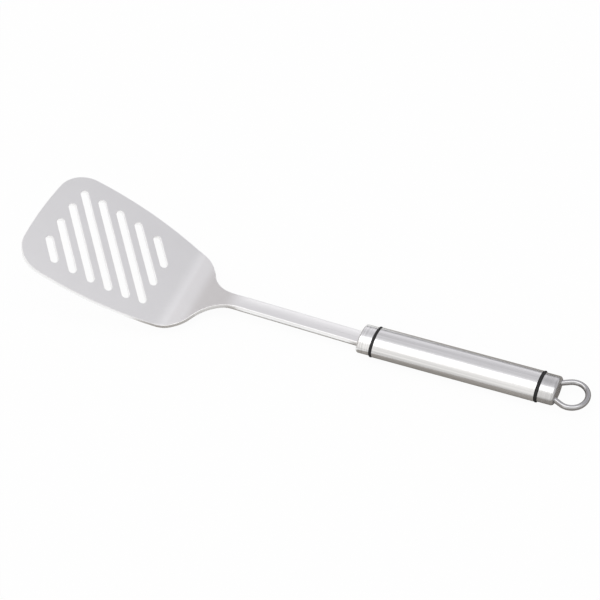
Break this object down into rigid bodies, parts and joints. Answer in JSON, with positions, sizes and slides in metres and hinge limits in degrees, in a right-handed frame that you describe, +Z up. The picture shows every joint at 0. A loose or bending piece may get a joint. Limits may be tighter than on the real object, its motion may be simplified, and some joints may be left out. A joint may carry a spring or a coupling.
{
  "type": "slotted turner",
  "caption": "Steel turner with a slotted, slightly bowed blade raised from a narrow channel shank, an oval tube handle with banded end caps, and a wire ring to hang it by.",
  "frame": {"origin": "bottom centre of the whole tool's box, under the middle of its length, on the plane that its two seals touch", "axes": "+X along the handle towards the hanging ring, the blade towards -X, +Z up from the plane that the handle lies on, Y across the blade"},
  "size_m": [0.3438, 0.0776, 0.0475],
  "materials": {
    "blade_steel": "satin, polished fine",
    "cap_steel": "brushed round the cap",
    "tube_steel": "brushed along the handle",
    "ring_steel": "polished wire",
    "pin_steel": "plain",
    "seal_rubber": "matte black",
    "plug_nylon": "as moulded"
  },
  "bodies": {
    "root": {"blade": "blade_steel", "front_cap": "cap_steel", "front_seal": "seal_rubber", "front_plug": "plug_nylon", "tang_pins": "pin_steel", "handle_tube": "tube_steel", "rear_plug": "plug_nylon", "rear_seal": "seal_rubber", "rear_cap": "cap_steel", "hanging_ring": "ring_steel"}
  },
  "joints": []
}
